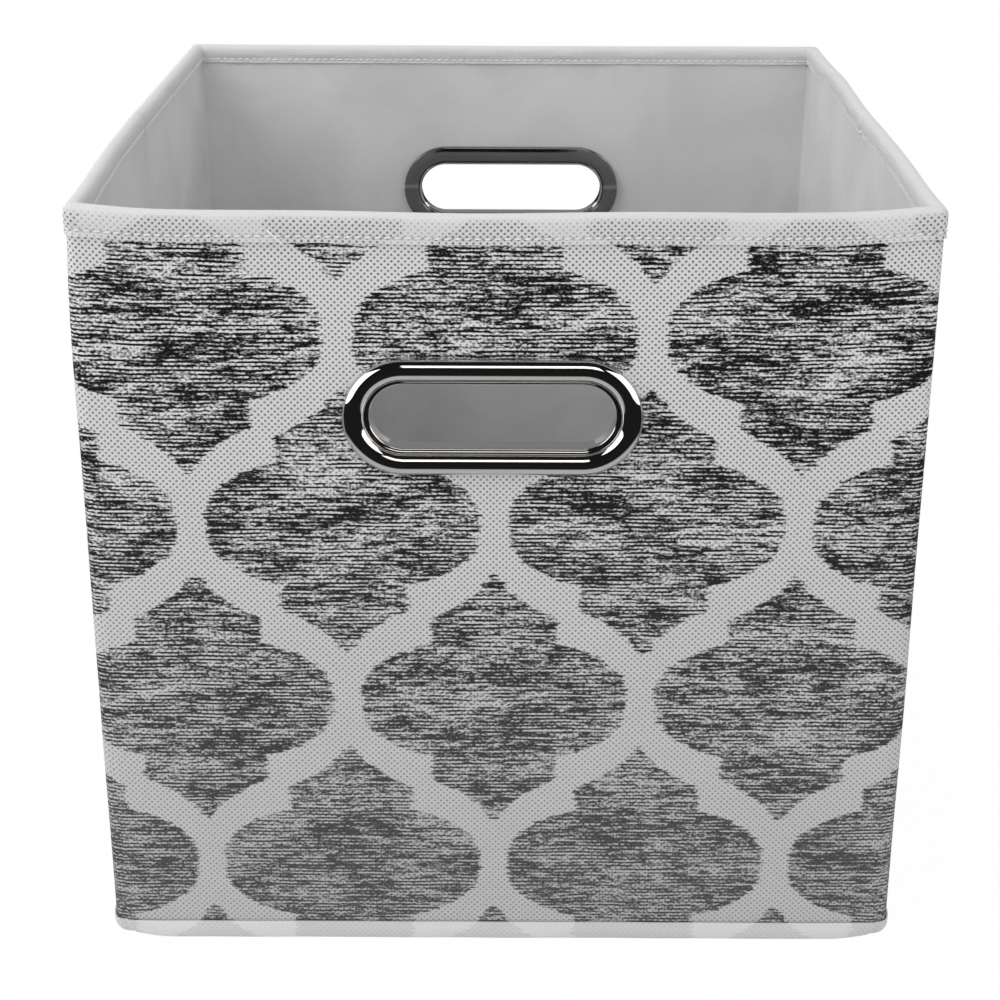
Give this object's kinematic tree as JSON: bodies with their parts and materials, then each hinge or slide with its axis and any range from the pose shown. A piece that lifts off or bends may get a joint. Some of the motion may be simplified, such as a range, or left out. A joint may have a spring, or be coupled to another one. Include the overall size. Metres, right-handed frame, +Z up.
{
  "type": "fabric storage bin",
  "caption": "Open cube storage bin of printed fabric over card walls, with a metal-ringed handle slot at front and rear; its creased side walls fold inwards.",
  "frame": {"origin": "middle of the underside, on the floor", "axes": "+Z up, +X to the right seen from the front, +Y from the front wall to the rear wall"},
  "size_m": [0.2816, 0.2846, 0.28],
  "materials": {
    "printed_fabric": "white embossed nonwoven polypropylene printed with grey heathered ogee tiles, matt",
    "lining_fabric": "light grey nonwoven polypropylene with embossed dots, matt",
    "binding_fabric": "thin white nonwoven strip, slightly see-through, sewn with one stitch row",
    "card": "grey board, matt, hidden between cloth layers",
    "chrome": "polished nickel-chrome plate",
    "wadding": "needled polyester wadding, hidden",
    "base_fabric": "grey nonwoven polypropylene, matt"
  },
  "bodies": {
    "front": {"front_skin": "printed_fabric", "front_card_stiffener": "card", "front_lining": "lining_fabric", "front_top_binding": "binding_fabric", "front_bottom_binding": "binding_fabric", "front_handle_bezel": "chrome", "front_handle_back_ring": "chrome", "bottom_fabric": "base_fabric", "base_pad": "wadding", "base_lining": "lining_fabric"},
    "rear": {"rear_skin": "printed_fabric", "rear_card_stiffener": "card", "rear_lining": "lining_fabric", "rear_top_binding": "binding_fabric", "rear_bottom_binding": "binding_fabric", "rear_handle_bezel": "chrome", "rear_handle_back_ring": "chrome"},
    "right_front": {"right_front_skin": "printed_fabric", "right_front_card_stiffener": "card", "right_front_lining": "lining_fabric", "right_front_top_binding": "binding_fabric", "right_front_bottom_binding": "binding_fabric"},
    "right_rear": {"right_rear_skin": "printed_fabric", "right_rear_card_stiffener": "card", "right_rear_lining": "lining_fabric", "right_rear_top_binding": "binding_fabric", "right_rear_bottom_binding": "binding_fabric"},
    "left_front": {"left_front_skin": "printed_fabric", "left_front_card_stiffener": "card", "left_front_lining": "lining_fabric", "left_front_top_binding": "binding_fabric", "left_front_bottom_binding": "binding_fabric"},
    "left_rear": {"left_rear_skin": "printed_fabric", "left_rear_card_stiffener": "card", "left_rear_lining": "lining_fabric", "left_rear_top_binding": "binding_fabric", "left_rear_bottom_binding": "binding_fabric"}
  },
  "joints": [
    {"name": "fold_front_right", "type": "hinge", "parent": "front", "child": "right_front", "pos_m": [0.1355, -0.134, 0.14], "axis": [0, 0, 1], "range_deg": [0, 86], "deforming": ["base_pad", "base_lining", "bottom_fabric"]},
    {"name": "crease_right", "type": "hinge", "parent": "right_front", "child": "right_rear", "pos_m": [0.14175, 0, 0.14], "axis": [0, 0, 1], "range_deg": [-172, 0]},
    {"name": "fold_rear_right", "type": "hinge", "parent": "right_rear", "child": "rear", "pos_m": [0.1355, 0.134, 0.14], "axis": [0, 0, 1], "range_deg": [0, 86]},
    {"name": "fold_front_left", "type": "hinge", "parent": "front", "child": "left_front", "pos_m": [-0.1355, -0.134, 0.14], "axis": [0, 0, 1], "range_deg": [-86, 0]},
    {"name": "crease_left", "type": "hinge", "parent": "left_front", "child": "left_rear", "pos_m": [-0.14175, 0, 0.14], "axis": [0, 0, 1], "range_deg": [0, 172]}
  ],
  "couplings": [
    {"joint": "crease_right", "follows": "fold_front_right", "ratio": -2},
    {"joint": "fold_rear_right", "follows": "fold_front_right", "ratio": 1},
    {"joint": "fold_front_left", "follows": "fold_front_right", "ratio": -1},
    {"joint": "crease_left", "follows": "fold_front_right", "ratio": 2}
  ]
}
